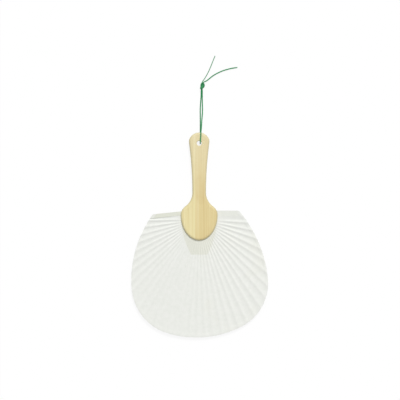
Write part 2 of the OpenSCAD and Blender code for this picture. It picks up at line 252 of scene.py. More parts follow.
ribLook = {
    "light": srgb(226, 207, 158),
    "dark": srgb(196, 170, 116),
    "fibre": ((900, 900, 900), 3.0, 0.6),
    "bump": (0.3, 0.1),
}


def ribMaterial():
    material, tree, shader = newMaterial("splitBamboo", 0.62, 0.25)
    fibre = stretchedNoise(tree, *ribLook["fibre"])
    colour = mixColour(tree, remap(tree, fibre, 0.35, 0.7), ribLook["light"], ribLook["dark"])
    tree.links.new(colour, shader.inputs["Base Color"])
    addBump(tree, shader, fibre, *ribLook["bump"])
    return material


paperLook = {
    "white": srgb(238, 239, 234),
    "grey": srgb(234, 236, 230),
    "aged": srgb(236, 236, 225),
    "hair": srgb(226, 227, 218),  # the long fibres in the paper
    # painted shade: the paper over a slat is greyer, as if the wood kept light from coming back through it
    "paintedSlatShade": srgb(225, 227, 214),
    # painted shade: the paper over the back half's long end
    "paintedHandleShade": srgb(227, 228, 217),
    "handleWide": 29.4,  # half the width of the back half where it starts to narrow, mm
    "handleFrom": 7.0,  # and where that is
    "handleNarrows": 4.093,  # how it narrows, per metre
    "handleEnds": -56.3,
    "sideSoft": 1.2,  # how soft the patch is at its sides and at its end, mm
    "endSoft": 0.6,
    "pulp": ((160, 160, 160), 4.0, 0.6),  # noise: scale, detail, roughness, distortion
    "agedNoise": ((14, 14, 14), 2.0),
    "agedBy": 0.5,
    "curls": ((420, 420, 420), 2.0, 0.5, 1.8),
    "hairWide": 0.022,
    "hairShows": 0.45,
    "hairHigh": 0.6,
    "fibre": ((1300, 1300, 1300), 3.0, 0.65, 0.8),
    "bump": (0.16, 0.06),
    "sheen": 0.08,
}


def paperMaterial(name, paintsHandleShade):
    material, tree, shader = newMaterial(name, 0.72, 0.18)
    pulp = stretchedNoise(tree, *paperLook["pulp"])
    colour = mixColour(tree, remap(tree, pulp, 0.35, 0.68), paperLook["white"], paperLook["grey"])
    # painted slat shade
    slatSeen = addNode(tree, "ShaderNodeAttribute", {"attribute_name": "paintedSlatShade"}).outputs["Fac"]
    colour = mixColour(tree, slatSeen, colour, paperLook["paintedSlatShade"])
    if paintsHandleShade:  # painted shade where the back half's long end shows through: a greyer patch
        place = addNode(tree, "ShaderNodeTexCoord").outputs["Object"]
        apart = addNode(tree, "ShaderNodeSeparateXYZ", i0=place)
        down = mathNode(tree, "SUBTRACT", paperLook["handleFrom"] * mm, apart.outputs[1])
        squared = mathNode(tree, "MULTIPLY", down, down)
        narrowed = mathNode(tree, "MULTIPLY", squared, paperLook["handleNarrows"])
        half = mathNode(tree, "SUBTRACT", paperLook["handleWide"] * mm, narrowed)
        aside = mathNode(tree, "ABSOLUTE", apart.outputs[0])
        soft, foot, blur = paperLook["sideSoft"] * mm, paperLook["handleEnds"] * mm, paperLook["endSoft"] * mm
        inside = remap(tree, mathNode(tree, "SUBTRACT", half, aside), -soft, soft)
        above = remap(tree, apart.outputs[1], foot - blur, foot + blur)
        handleShadeMask = mathNode(tree, "MULTIPLY", inside, above)
        colour = mixColour(tree, handleShadeMask, colour, paperLook["paintedHandleShade"])
    aged = stretchedNoise(tree, *paperLook["agedNoise"])
    yellowed = remap(tree, aged, 0.52, 0.78, 0.0, paperLook["agedBy"])
    colour = mixColour(tree, yellowed, colour, paperLook["aged"])
    curl = stretchedNoise(tree, *paperLook["curls"])
    thread = mathNode(tree, "ABSOLUTE", mathNode(tree, "SUBTRACT", curl, 0.5))
    hair = remap(tree, thread, 0.0, paperLook["hairWide"], 1.0, 0.0)
    hairSeen = mathNode(tree, "MULTIPLY", hair, paperLook["hairShows"])
    colour = mixColour(tree, hairSeen, colour, paperLook["hair"])
    tree.links.new(colour, shader.inputs["Base Color"])
    fibre = stretchedNoise(tree, *paperLook["fibre"])
    height = mathNode(tree, "ADD", fibre, mathNode(tree, "MULTIPLY", hair, paperLook["hairHigh"]))
    addBump(tree, shader, height, *paperLook["bump"])
    shader.inputs["Sheen Weight"].default_value = paperLook["sheen"]
    return material


cordLook = {
    "light": srgb(50, 160, 96),
    # dark is the painted shade in the grooves between the plies, light the crests
    "dark": srgb(18, 96, 54),
    "fibre": ((2600, 2600, 2600), 2.0, 0.6),
    # how strongly the painted groove shade shows
    "grooveShadeBy": 0.8,
    "fibreShows": 0.35,
    "bump": (0.4, 0.06),
    "sheen": (0.25, 0.5),  # weight and roughness
}


def cordMaterial():
    material, tree, shader = newMaterial("greenCord", 0.55, 0.3)
    # painted shade: the grooves between the plies darker, the crests lighter
    grooveShadeInput = addNode(tree, "ShaderNodeAttribute", {"attribute_name": "grooveShadeMask"}).outputs["Fac"]
    fibre = stretchedNoise(tree, *cordLook["fibre"])
    fuzz = mathNode(tree, "MULTIPLY", fibre, cordLook["fibreShows"])
    tone = mathNode(tree, "ADD", mathNode(tree, "MULTIPLY", grooveShadeInput, cordLook["grooveShadeBy"]), fuzz)
    colour = mixColour(tree, remap(tree, tone, 0.15, 1.0), cordLook["dark"], cordLook["light"])
    tree.links.new(colour, shader.inputs["Base Color"])
    addBump(tree, shader, fibre, *cordLook["bump"])
    addLayer(shader, "Sheen", *cordLook["sheen"])
    return material


bambooBoard = bambooMaterial()
splitBamboo = ribMaterial()
frontSheet = paperMaterial("frontSheet", True)
backSheet = paperMaterial("backSheet", False)
greenCord = cordMaterial()
print("materials made")


cordShape = {
    "diameter": 1.5,
    "thinTail": 1.2,  # the short tail has come untwisted
    "low": 0.75,  # centre height where it lies on the table
    "over": 9.65,  # centre height over the grip's face
    "knotHigh": 3.0,
    "hole": 122.0,
    "knotStart": (4.1, 208.5),
    "knotTurn": 7.0,
    "knotLong": 10.6,
    "apart": 0.775,  # from the knot's middle to each strand's
    "plies": 3,
    "pitch": 5.2,
    "step": 0.32,
    "sides": 18,
    "flattened": 1.2,  # a soft cord that lies down is a little wider than it is high
    "fade": 4.0,  # over how much of each end it turns round again
    "fuzz": 0.03,  # what its fibres add to the radius
    "core": 0.9,  # radius in the grooves, as a share
    "bulge": 0.14,  # and what the plies add
    "bulgeCurve": 0.7,
}
turn = math.radians(cordShape["knotTurn"])
knotWay = Vector((math.sin(turn), math.cos(turn), 0))
knotSide = Vector((math.cos(turn), -math.sin(turn), 0))
knotStart = Vector((*cordShape["knotStart"], cordShape["knotHigh"]))
knotEnd = knotStart + cordShape["knotLong"] * knotWay


def risen(route, top):
    low = cordShape["low"]
    return [Vector((x, cordShape["hole"] + y, low + share * (top - low))) for x, y, share in route]


frontRoute = risen([
    (1.7, -0.85, 0.5), (1.7, -0.25, 0.75), (1.75, 1.4, 0.93), (1.9, 3.6, 1), (2.2, 7, 1), (2.5, 11, 1),
    (2.7, 15, 1), (2.9, 18.5, 1), (3.3, 22.5, 0.95), (3.6, 26, 0.83), (3.8, 29.5, 0.68), (4, 33, 0.51),
    (4.2, 36.5, 0.35), (4.5, 40, 0.22), (4.8, 43.5, 0.12), (5.1, 47.5, 0.04), (5.2, 51.5, 0),
    (5.3, 55.5, 0), (5.2, 59.5, 0), (5.05, 63.5, 0), (4.95, 67.5, 0), (4.9, 71.5, 0),
], cordShape["over"]) + risen([(4.9, 75.5, 0.03), (4.9, 79.5, 0.28), (4.9, 83, 0.7)], cordShape["knotHigh"])
frontRoute.append(knotStart + cordShape["apart"] * knotSide)
backRoute = risen([
    (1.7, -0.85, 0.5), (1.7, -0.25, 0.25), (1.7, 1.4, 0.07), (1.75, 3.6, 0), (1.8, 7.5, 0), (1.85, 11.5, 0),
    (1.9, 15.5, 0), (1.9, 19.5, 0), (1.9, 23.5, 0), (1.9, 27.5, 0), (1.9, 31.5, 0), (1.9, 35.5, 0),
    (1.85, 39.5, 0), (1.8, 43.5, 0), (1.75, 47.5, 0), (1.7, 51.5, 0), (1.75, 55.5, 0), (1.95, 59.5, 0),
    (2.2, 63.5, 0), (2.5, 67.5, 0), (2.8, 71.5, 0),
], cordShape["over"]) + risen([(3.05, 75.5, 0.03), (3.2, 79.5, 0.28), (3.25, 83, 0.7)], cordShape["knotHigh"])
backRoute.append(knotStart - cordShape["apart"] * knotSide)
longRoute = [knotEnd + cordShape["apart"] * knotSide] + risen([
    (7.7, 98.3, 0.93), (9.8, 99.2, 0.72), (12.5, 100.8, 0.38), (15.5, 103.2, 0.13), (18.7, 105.9, 0.03),
    (22.1, 108.4, 0), (26, 110.9, 0), (30.2, 113.1, 0), (34.5, 115.1, 0), (39, 116.9, 0), (43.5, 118.3, 0),
    (48, 119.5, 0), (52.5, 120.5, 0), (57, 121.2, 0), (61.3, 121.8, 0),
], cordShape["knotHigh"])
shortRoute = [knotEnd - cordShape["apart"] * knotSide] + risen([
    (5.6, 99.4, 0.9), (7.2, 101.7, 0.65), (9.2, 104.6, 0.32), (11.2, 107.9, 0.09), (13.1, 111.4, 0.02),
    (15, 115.2, 0), (16.7, 119, 0), (18.4, 122.9, 0), (19.9, 126.7, 0), (21.4, 130.5, 0), (22.8, 134.1, 0),
    (24.2, 137.4, 0), (25.5, 140.4, 0),
], cordShape["knotHigh"])


def twistedTube(name, line, radius, wider):
    points, faces, grooveShadeMask = [], [], []
    sides, plies = cordShape["sides"], cordShape["plies"]
    across, gone = None, 0.0
    for i, p in enumerate(line):
        ahead = (line[min(i + 1, len(line) - 1)] - line[max(i - 1, 0)]).normalized()
        if across is None:
            across = ahead.orthogonal().normalized()
        else:
            across = (across - ahead * across.dot(ahead)).normalized()
            gone += (p - line[i - 1]).length
        other = ahead.cross(across)
        level = ahead.cross(Vector((0, 0, 1)))
        level = level.normalized() if level.length > 0.5 else Vector((1, 0, 0))
        fade = min(1.0, min(i, len(line) - 1 - i) * cordShape["step"] / cordShape["fade"])
        for k in range(sides):
            a = 2 * math.pi * k / sides
            lobe = abs(math.cos(plies / 2 * (a - 2 * math.pi * gone / cordShape["pitch"])))
            share = cordShape["core"] + cordShape["bulge"] * lobe ** cordShape["bulgeCurve"]
            out = radius * share * (math.cos(a) * across + math.sin(a) * other)
            points.append(p + out + (wider - 1) * fade * out.dot(level) * level)
            # kept for the painted groove shade
            grooveShadeMask.append(lobe)
    for i in range(len(line) - 1):
        for k in range(sides):
            a, b = sides * i + k, sides * i + (k + 1) % sides
            faces.append((a, b, b + sides, a + sides))
    faces.append(tuple(range(sides))[::-1])
    faces.append(tuple(range(sides * (len(line) - 1), sides * len(line))))
    piece = meshObject(name, points, faces, greenCord)
    addFloats(piece, "grooveShadeMask", grooveShadeMask)
    tidyNormals(piece)
    return piece


def throughNodes(seed, tree, values, material, name):
    modifier = seed.modifiers.new("nodes", "NODES")
    modifier.node_group = tree
    for item in tree.interface.items_tree:
        if item.in_out == "INPUT" and item.name in values:
            modifier[item.identifier] = values[item.name]
        if item.in_out == "INPUT" and item.name == "Material":
            modifier[item.identifier] = material
    bpy.context.view_layer.update()
    evaluated = seed.evaluated_get(bpy.context.evaluated_depsgraph_get())
    data = bpy.data.meshes.new_from_object(evaluated)
    data.name = name
    seed.modifiers.clear()
    bpy.data.objects.remove(seed)
    data.polygons.foreach_set("use_smooth", [True] * len(data.polygons))
    data.set_sharp_from_angle(angle=cornerAngle)
    piece = bpy.data.objects.new(name, data)
    scene.collection.objects.link(piece)
    return piece


def joinPieces(name, pieces):
    work = bmesh.new()
    for piece in pieces:
        work.from_mesh(piece.data)
        old = piece.data
        bpy.data.objects.remove(piece)
        bpy.data.meshes.remove(old)
    data = bpy.data.meshes.new(name)
    work.to_mesh(data)
    work.free()
    data.materials.append(greenCord)
    joined = bpy.data.objects.new(name, data)
    scene.collection.objects.link(joined)
    return joined


knotShape = {
    "path": [  # the doubled cord's way through the overhand knot: across, along, up
        (0.0, -6.2, -0.3), (0.0, -5.3, 0.0), (-0.15, -4.4, 0.0), (-0.9, -2.3, -0.7), (-1.4, 0.6, -0.8),
        (-1.1, 3.1, 0.1), (0.4, 4.3, 1.0), (2.0, 3.2, 1.2), (2.6, 0.8, 0.3), (1.6, -1.5, -1.2),
        (-0.6, -3.0, -1.3), (-2.2, -3.6, -0.2), (-1.9, -3.9, 1.1), (-0.2, -3.0, 1.6), (0.9, -0.4, 1.1),
        (1.3, 2.2, 0.0), (0.7, 4.2, -0.2), (0.0, 5.3, 0.0), (0.0, 5.9, 0.0),
    ],
    "step": 0.3,
    "apart": 0.76,
    "radius": 0.78,
}


def makeKnot():
    centre = (knotStart + knotEnd) / 2
    line = smoothLine(knotShape["path"], knotShape["step"])[0]
    heads = [(line[min(i + 1, len(line) - 1)] - line[max(i - 1, 0)]).normalized() for i in range(len(line))]
    beside = [Vector((1, 0, 0))]  # carried along the path without twist
    for head in heads[1:]:
        beside.append((beside[-1] - head * beside[-1].dot(head)).normalized())
    last, head = beside[-1], heads[-1]
    left = math.atan2(head.dot(last.cross(Vector((1, 0, 0)))), last.dot(Vector((1, 0, 0))))
    if abs(left) > math.pi / 2:  # the two strands may leave with their sides swapped
        left -= math.copysign(math.pi, left)
    strands = [[], []]
    for i, p in enumerate(line):
        way = Matrix.Rotation(left * i / (len(line) - 1), 3, heads[i]) @ beside[i]
        for side in (0, 1):
            q = p + (side * 2 - 1) * knotShape["apart"] * way
            strands[side].append(centre + q.x * knotSide + q.y * knotWay + Vector((0, 0, q.z)))
    tubes = [twistedTube(f"knotPart{side}", strands[side], knotShape["radius"], 1.0) for side in (0, 1)]
    return joinPieces("knot", tubes)


def makeCords():
    knot = makeKnot()
    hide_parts("cord_knot")
    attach(knot, loopBody)
    thick, flat = cordShape["diameter"], cordShape["flattened"]
    plan = [
        ("frontStrand", frontRoute, "cord_front_strand", "knot", thick, flat, [knot]),
        ("backStrand", backRoute, "cord_back_strand", "knot", thick, flat, []),
        ("longTail", longRoute, "cord_long_tail", "bare", thick, flat, []),
        ("shortTail", shortRoute, "cord_short_tail", "bare", cordShape["thinTail"], 1.0, []),
    ]
    for name, route, node, end, thick, wider, extra in plan:
        line, total = smoothLine(route, cordShape["step"])
        piece = twistedTube(name, line, thick / 2 + cordShape["fuzz"], wider)
        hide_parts(node)
        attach(piece, loopBody)
        print(name, "is", round(total, 1), "mm long")


makeCords()
print("cord made")


handle = {
    "thick": 3.4,
    "neckWide": 21.8,
    "neckAt": 43.0,
    "gripWide": 32.4,
    "endFlare": 0.9,
    "endCorner": (1.5, 9),  # mm short of the hole's level, and degrees past the corner, where it rounds
    "holeAt": 122.0,
    "holeWide": 8.0,
    "spoonWide": 58.8,
    "spoonAt": 7.0,
    "shoulder": 17.5,
    "arcGap": 3,  # the neck's arc starts this many degrees past where the shoulder's ends
    "frontDrop": 40.2,
    "backDrop": 63.3,
    "backEndWide": 26.0,
    "backCorner": 4.0,
    "lift": 1.8,
    "bend": (18.0, 38.0),
    # how far in from the outline, how high and how much painted edge shade, from the hidden face round to the
    # shown one
    "edge": [(0.3, 0.0, 0.5), (0.05, 0.1, 0.5), (0.0, 0.3, 0.5), (0.0, 0.7, 0.5), (0.08, 1.2, 0.5),
             (0.3, 1.75, 0.45), (0.7, 2.3, 0.4), (1.25, 2.75, 0.3), (2.0, 3.12, 0.15), (3.0, 3.34, 0.0),
             (4.2, 3.4, 0.0)],
    # the same for the hole's wall: how far out from its radius and how high
    "holeEdge": [(0.1, 0.0), (0.0, 0.15), (0.0, 2.9), (0.08, 3.15), (0.25, 3.33), (0.55, 3.4)],
    "holeSides": 64,
}


def eased(start, corner, stop, steps):  # a curve from start to stop that rounds the corner
    curve = []
    for i in range(steps):
        t = i / steps
        curve.append(tuple(start * (1 - t) ** 2 + 2 * corner * t * (1 - t) + stop * t * t))
    return curve


def gripSide():  # from the spoon's widest point up its right side to the middle of the grip's end
    neck, spoon = handle["neckWide"] / 2, handle["spoonWide"] / 2
    step, rise = spoon - neck, handle["neckAt"] - handle["spoonAt"]
    both = (step * step + rise * rise) / (2 * step)
    hollow = both - handle["shoulder"]
    meet = math.degrees(math.atan2(rise, both - step))
    points = arc((spoon - handle["shoulder"], handle["spoonAt"]), handle["shoulder"], 0, meet, 16)
    points += arc((neck + hollow, handle["neckAt"]), hollow, 180 - handle["arcGap"] + meet, 180, 16)
    wide, far = handle["gripWide"] / 2 - neck, handle["holeAt"] - handle["neckAt"]
    before, after = handle["endCorner"]
    sideRadius = (far * far + wide * wide) / (2 * wide)
    sideAt = Vector((neck + sideRadius, handle["neckAt"]))
    for i in range(1, 40):
        y = handle["neckAt"] + (far - before) * i / 39
        points.append((sideAt.x - math.sqrt(sideRadius ** 2 - (y - handle["neckAt"]) ** 2), y))
    hole = Vector((0, handle["holeAt"]))
    end = handle["gripWide"] / 2 + handle["endFlare"]
    apart = (sideAt - hole).length
    along = (end * end - sideRadius ** 2 + apart * apart) / (2 * apart)
    across = math.sqrt(end * end - along * along)
    toSide = (sideAt - hole) / apart
    corner = hole + along * toSide + across * Vector((-toSide.y, toSide.x))
    roundFrom = math.degrees(math.atan2(corner.y - hole.y, corner.x)) + after
    low, high = Vector(points[-1]), Vector(arc(hole, end, roundFrom, 90, 1)[0])
    points += eased(low, corner, high, 8)[1:]
    return points + arc(hole, end, roundFrom, 90, 22)


def frontTip():
    lower = []
    for i in range(36):
        a = math.radians(-90 + 2.5 * i)
        lower.append((handle["spoonWide"] / 2 * math.cos(a),
                      handle["spoonAt"] + handle["frontDrop"] * math.sin(a)))
    return lower


def backTip():
    spoon, drop = handle["spoonWide"] / 2, handle["backDrop"]
    step = spoon - handle["backEndWide"] / 2
    radius = (drop ** 2 + step * step) / (2 * step)
    side = arc((spoon - radius, handle["spoonAt"]), radius, -math.degrees(math.asin(drop / radius)), 0, 40)
    foot = Vector((side[0][0], handle["spoonAt"] - drop))
    start = foot - Vector((handle["backCorner"], 0))
    lower = [(start.x * k / 6, foot.y) for k in range(6)]
    return lower + eased(start, foot, Vector(side[2]), 8) + side[2:-1]


def handleOutline(front):
    half = (frontTip() if front else backTip()) + gripSide()
    return half + [(-x, y) for x, y in half[::-1] if x > 1e-6]


def insetLoop(outline, by):
    loop, count = [], len(outline)
    for i in range(count):
        a, b, c = (Vector(outline[j % count]) for j in (i - 1, i, i + 1))
        ahead = (c - a).normalized()
        loop.append(b + by * Vector((-ahead.y, ahead.x)))
    return loop


def handleHalf(name, front):
    outline = handleOutline(front)
    work = bmesh.new()
    edgeShadeMask = work.verts.layers.float.new("edgeShadeValues")
    thick = handle["thick"]

    def level(z):
        return z if front else thick - z

    def ring(loop, z):
        return [work.verts.new((p[0] * mm, p[1] * mm, level(z) * mm)) for p in loop]

    def skin(a, b):
        for i in range(len(a)):
            j = (i + 1) % len(a)
            work.faces.new((a[i], a[j], b[j], b[i]))

    rings = []
    # the third column is painted edge shade, kept on the vertices
    for by, z, edgeShadeAmount in handle["edge"]:
        rings.append(ring(insetLoop(outline, by), z))
        for v in rings[-1]:
            v[edgeShadeMask] = edgeShadeAmount
    for a, b in zip(rings, rings[1:]):
        skin(a, b)
    circles = []
    for out, z in handle["holeEdge"]:
        loop = arc((0, handle["holeAt"]), handle["holeWide"] / 2 + out, 0, 360, handle["holeSides"])
        circles.append(ring(loop[:-1], z))
    for a, b in zip(circles, circles[1:]):
        skin(a, b)
    for outer, inner in ((rings[0], circles[0]), (rings[-1], circles[-1])):
        edges = []
        for loop in (outer, inner):
            for i in range(len(loop)):
                a, b = loop[i], loop[(i + 1) % len(loop)]
                edges.append(work.edges.get((a, b)) or work.edges.new((a, b)))
        bmesh.ops.triangle_fill(work, edges=edges, use_beauty=True)
    if not front:
        start, stop = handle["bend"]
        for k in range(int(start) - 2, int(stop) + 3):
            bmesh.ops.bisect_plane(work, geom=work.verts[:] + work.edges[:] + work.faces[:], dist=1e-7,
                                   plane_co=(0, k * mm, 0), plane_no=(0, 1, 0))
        for v in work.verts:
            t = min(1, max(0, (v.co.y / mm - start) / (stop - start)))
            v.co.z += handle["lift"] * mm * (1 - math.cos(math.pi * t)) / 2
    else:
        for v in work.verts:
            v.co.z += (thick + handle["lift"]) * mm
    bmesh.ops.recalc_face_normals(work, faces=work.faces)
    data = bpy.data.meshes.new(name)
    edgeShadeValues = [v[edgeShadeMask] for v in work.verts]
    work.to_mesh(data)
    work.free()
    data.materials.append(bambooBoard)
    data.polygons.foreach_set("use_smooth", [True] * len(data.polygons))
    piece = bpy.data.objects.new(name, data)
    scene.collection.objects.link(piece)
    addFloats(piece, "edgeShadeMask", edgeShadeValues)
    flat = piece.modifiers.new("flatFaces", "WEIGHTED_NORMAL")
    flat.keep_sharp = True
    flat.weight = 80
    return piece


for name, node, isFront in (("frontHalf", "handle_front", True), ("backHalf", "handle_back", False)):
    half = handleHalf(name, isFront)
    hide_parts(node)
    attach(half, fanBody)
print("handle made")


leaf = {
    "ribs": 35,
    "spread": 175.4,
    "crowding": 0.22,
    "drift": 3.9,
    "lean": 1.1,
    "ribLow": 3.65,
    "ribThick": 1.3,
    "ribRoot": 20.0,
    "ribRootWide": 1.2,
    "ribTipWide": 2.6,
    "endGap": 1.5,
    "paper": 0.25,
    "root": 24.0,
    "glued": 50.0,
    "sinkEvenly": 0.6,  # how straight the folds deepen between the root and there, as a share
    "dip": 0.3,
    "ease": 0.1,
    "tape": 0.2,
    "slatShadeShare": (0.3, 1.0),  # how much painted shade the right and left slat put on the paper over them
    "firstRows": (0, 0.02, 0.05),  # shares of the way from the root to the rim
    "rows": 52,
    "across": 12,
    "crestSteps": {"slat": 8, "rib": 4},
    "slatFlank": -0.2,  # the fold beside the right slat lies nearer the first rib
    "seed": 7,
    "ribWander": 0.22,  # how far a rib strays from its place, degrees
    "foldVaries": (0.85, 1.12),
    "foldSkew": 0.07,
    "foldCurve": 2.1,  # how soon the paper drops beside a rib
    "ribSwell": 0.05,  # how much the paper bulges over a rib
    "cockle": (0.05, 0.07),  # scale and height of the paper's waves
    "ripple": (0.22, 0.025),
    "nick": (0.1, 0.6),  # the rim is trimmed in at each rib
    "nickWide": 0.55,  # degrees
    "trim": (0.35, 0.25),
    # how deep the folds are pressed: bearing from the leaf's bottom, share of the full depth
    "pressed": [(-92, 0.85), (-80, 0.8), (-66, 0.52), (-50, 0.48), (-38, 0.3), (-8, 0.34), (8, 0.34),
                (22, 0.42), (38, 0.52), (54, 0.52), (68, 0.72), (92, 0.8)],
}
rim = {
    "bottom": ((-4.6, -29.4), 159.4),
    "right": (78.9, 26.5, 197.0, 6.3),  # corner radius and direction, side radius and direction
    "left": (80.9, 16.8, 179.0, -4.2),
}
slats = {
    "right": (1, 0.3, 5.6, 8.8),  # side, slope, distance of the lower edge, width
    "left": (-1, 6.0, 9.6, 6.4),
}
dice = random.Random(leaf["seed"])


def towards(a):
    return Vector((math.sin(math.radians(a)), -math.cos(math.radians(a))))


def sideways(a):
    return Vector((math.cos(math.radians(a)), math.sin(math.radians(a))))


def direction(p):
    return math.degrees(math.atan2(p[0], -p[1]))


def hit(p, d, centre, radius):
    q = Vector(p) - Vector(centre)
    b = q.dot(d)
    return math.sqrt(b * b - q.dot(q) + radius * radius) - b


def rimArcs():
    centre, radius = Vector(rim["bottom"][0]), rim["bottom"][1]
    arcs = []
    for way, key in ((1, "right"), (-1, "left")):
        cornerRadius, cornerAt, sideRadius, sideAt = rim[key]
        corner = centre + (radius - cornerRadius) * towards(way * cornerAt)
        level = Vector((way * math.cos(math.radians(sideAt)), math.sin(math.radians(sideAt))))
        side = corner - (sideRadius - cornerRadius) * level
        low = direction(corner + cornerRadius * towards(way * cornerAt))
        high = direction(corner + cornerRadius * level)
        arcs.append((low, high, corner, cornerRadius, side, sideRadius))
    return arcs


rightArcs, leftArcs = rimArcs()


def rimArc(a):
    low, high, corner, cornerRadius, side, sideRadius = rightArcs if a > 0 else leftArcs
    if abs(a) > abs(high):
        return side, sideRadius
    if abs(a) > abs(low):
        return corner, cornerRadius
    return Vector(rim["bottom"][0]), rim["bottom"][1]


def reach(a):
    return hit((0, 0), towards(a), *rimArc(a))


longest = reach(0)


def ribAngle(i):
    u = 2 * i / (leaf["ribs"] - 1) - 1
    curve = (1 - leaf["crowding"]) * u + leaf["crowding"] * u ** 3
    return -leaf["lean"] - leaf["drift"] * (1 - u * u) - leaf["spread"] / 2 * curve


stray = leaf["ribWander"]
ribAngles = [ribAngle(i) + dice.uniform(-stray, stray) for i in range(leaf["ribs"])]


def ribHalf(r):
    grown = (r - leaf["ribRoot"]) / (longest - leaf["ribRoot"])
    return (leaf["ribRootWide"] + (leaf["ribTipWide"] - leaf["ribRootWide"]) * grown) / 2


def slatLine(key, outer):
    way, slope, off, wide = slats[key]
    s = math.radians(slope)
    off += wide if outer else 0
    return off * Vector((way * math.sin(s), math.cos(s))), Vector((way * math.cos(s), -math.sin(s)))


def slatEnd(start, way):
    return hit(start, way, *(rightArcs if way.x > 0 else leftArcs)[4:])


def slatFold(key, outer):
    start, way = slatLine(key, outer)
    return start + leaf["root"] * way, start + slatEnd(start, way) * way


def ribFold(i, way):
    a = ribAngles[i]
    r = reach(a)
    inner = leaf["root"] * towards(a) + way * (ribHalf(leaf["root"]) + leaf["ease"]) * sideways(a)
    b = a + way * math.degrees(math.atan((ribHalf(r) + leaf["ease"]) / r))
    return inner, reach(b) * towards(b)


def pressedDepth(bearing):
    table = leaf["pressed"]
    for (a, low), (b, high) in zip(table, table[1:]):
        if bearing <= b:
            return low + (high - low) * max(0.0, (bearing - a) / (b - a))
    return table[-1][1]


def leafColumns():
    crests = [(slatFold("right", True), slatFold("right", False), "slat")]
    for i in range(leaf["ribs"]):
        crests.append((ribFold(i, 1), ribFold(i, -1), "rib"))
    crests.append((slatFold("left", False), slatFold("left", True), "slat"))
    # each column: inner point, outer point, depth there, how much painted slat shade, rib, swell, fold's
    # strength
    columns = []
    for i, (a, b, kind) in enumerate(crests):
        steps = leaf["crestSteps"][kind]
        for k in range(steps + 1):
            t = k / steps
            inner, outer = a[0].lerp(b[0], t), a[1].lerp(b[1], t)
            if kind == "rib":
                bearing = direction(outer)
                outer = reach(bearing) * towards(bearing)
            swell = math.sin(math.pi * t) * (0.0 if kind == "slat" else 1.0)
            # painted slat shade: how much the slat darkens the paper over it
            seen = leaf["slatShadeShare"][0 if i == 0 else 1] if kind == "slat" else 0.0
            columns.append((inner, outer, 0.0, seen, i, swell, 1.0))
        if i == len(crests) - 1:
            break
        nextOne = crests[i + 1][0]
        low, high = direction(b[1]), direction(nextOne[1])
        strength = pressedDepth((low + high) / 2) * dice.uniform(*leaf["foldVaries"])
        skew = dice.uniform(-leaf["foldSkew"], leaf["foldSkew"]) + (leaf["slatFlank"] if i == 0 else 0)
        for k in range(1, leaf["across"]):
            t = k / leaf["across"]
            warped = t + skew * math.sin(math.pi * t)
            inner = b[0].lerp(nextOne[0], t)
            bearing = low + (high - low) * t
            outer = reach(bearing) * towards(bearing)
            depth = 1 - (1 - 2 * min(warped, 1 - warped)) ** leaf["foldCurve"]
            columns.append((inner, outer, depth, 0.0, i, 0.0, strength))
    return columns


columns = leafColumns()
nicks = [(a, dice.uniform(*leaf["nick"])) for a in ribAngles]


def rimTrim(bearing):
    cut = sum(deep * math.exp(-((bearing - a) / leaf["nickWide"]) ** 2) for a, deep in nicks)
    scale, much = leaf["trim"]
    return cut + much * noise.noise(Vector((bearing * scale, 3.1, 0)))


def sheetPoint(column, v, side):
    inner, outer, depth, _, number, swell, strength = column
    p = inner.lerp(outer, v)
    r = p.length
    ramp = min(1.0, max(0.0, (r - leaf["root"]) / (leaf["glued"] - leaf["root"])))
    even = leaf["sinkEvenly"]
    ramp = ramp * (even + (1 - even) * ramp * (2 - ramp))
    crest = leaf["ribLow"] + (leaf["ribThick"] if side > 0 else 0.0)
    middle = leaf["ribLow"] + leaf["ribThick"] / 2 - leaf["dip"] * r / longest
    z = crest + (middle - crest) * depth * ramp * strength
    scale, much = leaf["cockle"]
    wave = much * noise.noise(Vector((p.x * scale, p.y * scale, 1.7 * number)))
    scale, much = leaf["ripple"]
    wave += much * noise.noise(Vector((p.x * scale, p.y * scale, 9.0 + 0.9 * number)))
    z += depth * ramp * wave
    z += side * leaf["ribSwell"] * swell
    return Vector((p.x, p.y, z))


def makeSheet(name, side, material):
    shares, rest = [*leaf["firstRows"]], leaf["rows"] - len(leaf["firstRows"])
    shares += [shares[-1] + (1 - shares[-1]) * k / rest for k in range(1, rest + 1)]
    points, faces, over = [], [], []
    for layer in (0, 1):  # the face on the ribs, then the face that shows
        for column in columns:
            bearing = direction(column[1])
            length = (column[1] - column[0]).length
            for v in shares:
                q = sheetPoint(column, v * (1 - rimTrim(bearing) / length), side)
                q.z += side * leaf["paper"] * layer
                points.append(q)
                # painted slat shade, kept on the vertices
                over.append(column[3])
    n, m = len(shares), len(columns)
    up = n * m
    for c in range(m - 1):
        for s in range(n - 1):
            a = c * n + s
            faces.append((up + a, up + a + 1, up + a + n + 1, up + a + n))
            faces.append((a, a + n, a + n + 1, a + 1))
        for s in (0, n - 1):
            a = c * n + s
            faces.append((a, a + n, up + a + n, up + a))
    for s in range(n - 1):
        for c in (0, m - 1):
            a = c * n + s
            faces.append((a, a + 1, up + a + 1, up + a))
    piece = meshObject(name, points, faces, material)
    addFloats(piece, "paintedSlatShade", over)
    tidyNormals(piece)
    return piece


for name, side, node, material, area in (("frontPaper", 1, "leaf_front_paper", frontSheet, 0.0360),
                                         ("backPaper", -1, "leaf_back_paper", backSheet, 0.0359)):
    sheet = makeSheet(name, side, material)
    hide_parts(node)
    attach(sheet, fanBody)
print("paper made")


strip = {  # mm
    "wide": 6.0,
    "wander": (0.2, 0.35),  # scale and width of its inner edge's waves
    "clear": 0.02,  # how far it lies off the paper
    "pressed": (0.08, 0.01),  # how much its inner edge is pressed down, and the row beside it
    "rows": (0.0, 0.2, 0.6),  # where its rows lie between its inner edge and the rim
    "lastRow": 0.8,  # and how far the last one lies in from the rim
    # painted slat shade on the strip
    "slatShadeShare": 0.35,
}
bindingTree = {
    "Thickness": leaf["tape"] * mm,
}


